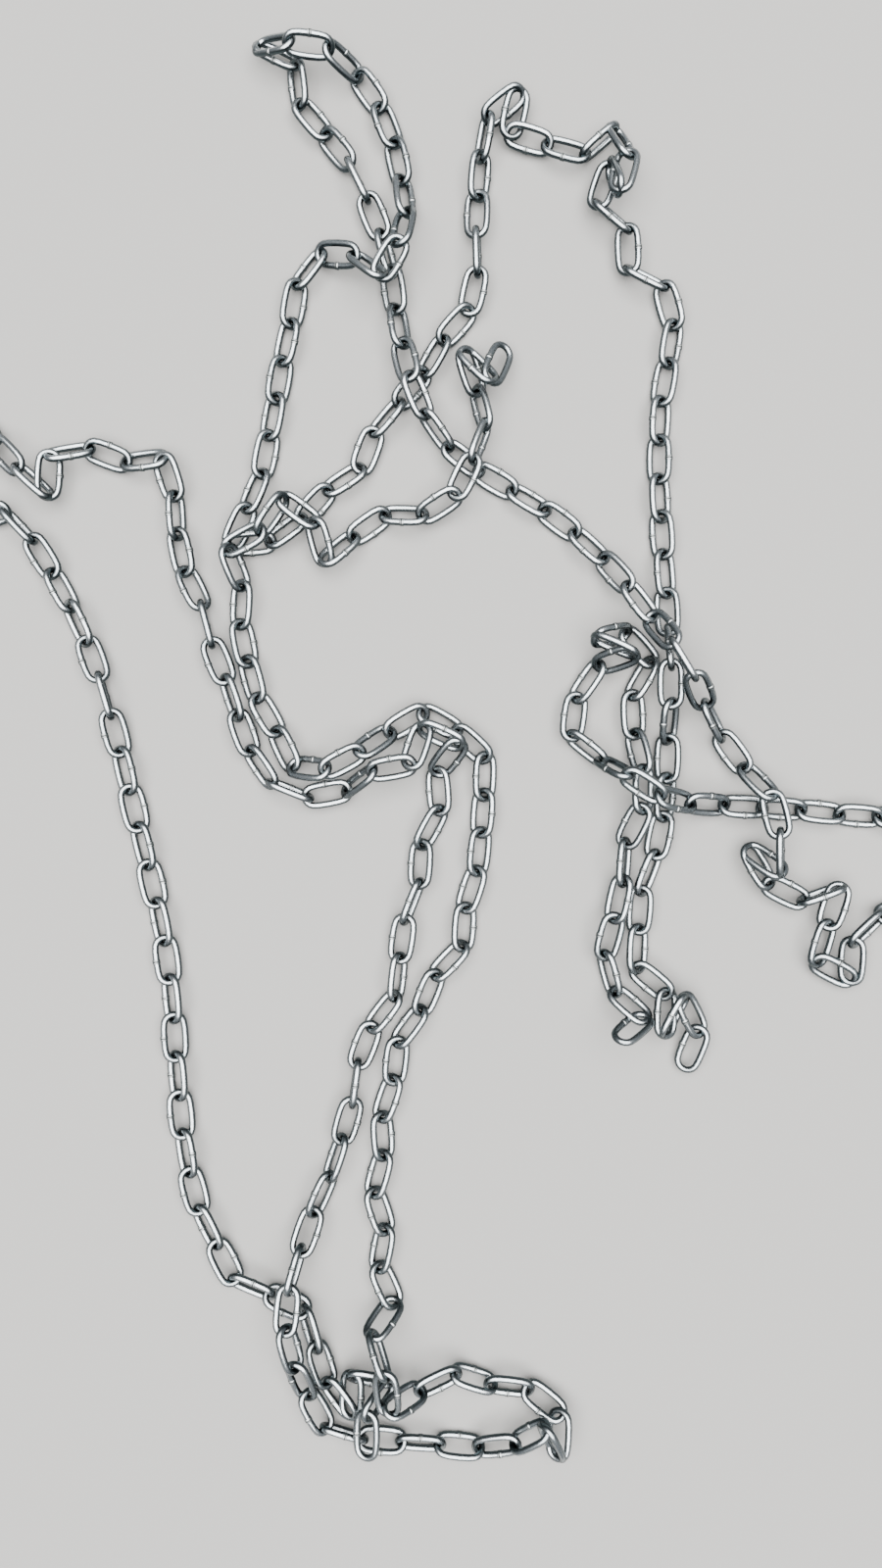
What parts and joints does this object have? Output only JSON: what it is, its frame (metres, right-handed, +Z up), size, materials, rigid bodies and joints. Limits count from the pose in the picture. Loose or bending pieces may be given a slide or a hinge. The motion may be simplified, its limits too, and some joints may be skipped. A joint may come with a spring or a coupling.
{
  "type": "heap of steel chain",
  "caption": "Zinc-plated welded round-link steel chain lying on a level surface in a low, loose heap of strands, loops and small tangles.",
  "frame": {"origin": "centre of the heap's bounding box, on the level surface that it lies on", "axes": "+Y toward the top of the picture, +X toward its right, +Z up from the surface"},
  "size_m": [1.0162, 1.2092, 0.057],
  "materials": {
    "zinc_plated_steel": "bright zinc plated, lightly soiled"
  },
  "bodies": {
    "root": {"chain_a_run_01": "zinc_plated_steel", "chain_a_run_02": "zinc_plated_steel", "chain_a_run_03": "zinc_plated_steel", "chain_a_run_04": "zinc_plated_steel", "chain_a_run_05": "zinc_plated_steel", "chain_a_run_06": "zinc_plated_steel", "chain_a_run_07": "zinc_plated_steel", "chain_a_run_08": "zinc_plated_steel", "chain_a_run_09": "zinc_plated_steel", "chain_b_run_01": "zinc_plated_steel", "chain_b_run_02": "zinc_plated_steel", "chain_b_run_03": "zinc_plated_steel", "chain_b_run_04": "zinc_plated_steel", "chain_b_run_05": "zinc_plated_steel", "chain_b_run_06": "zinc_plated_steel", "chain_b_run_07": "zinc_plated_steel", "chain_b_run_08": "zinc_plated_steel", "chain_b_run_09": "zinc_plated_steel"}
  },
  "joints": []
}
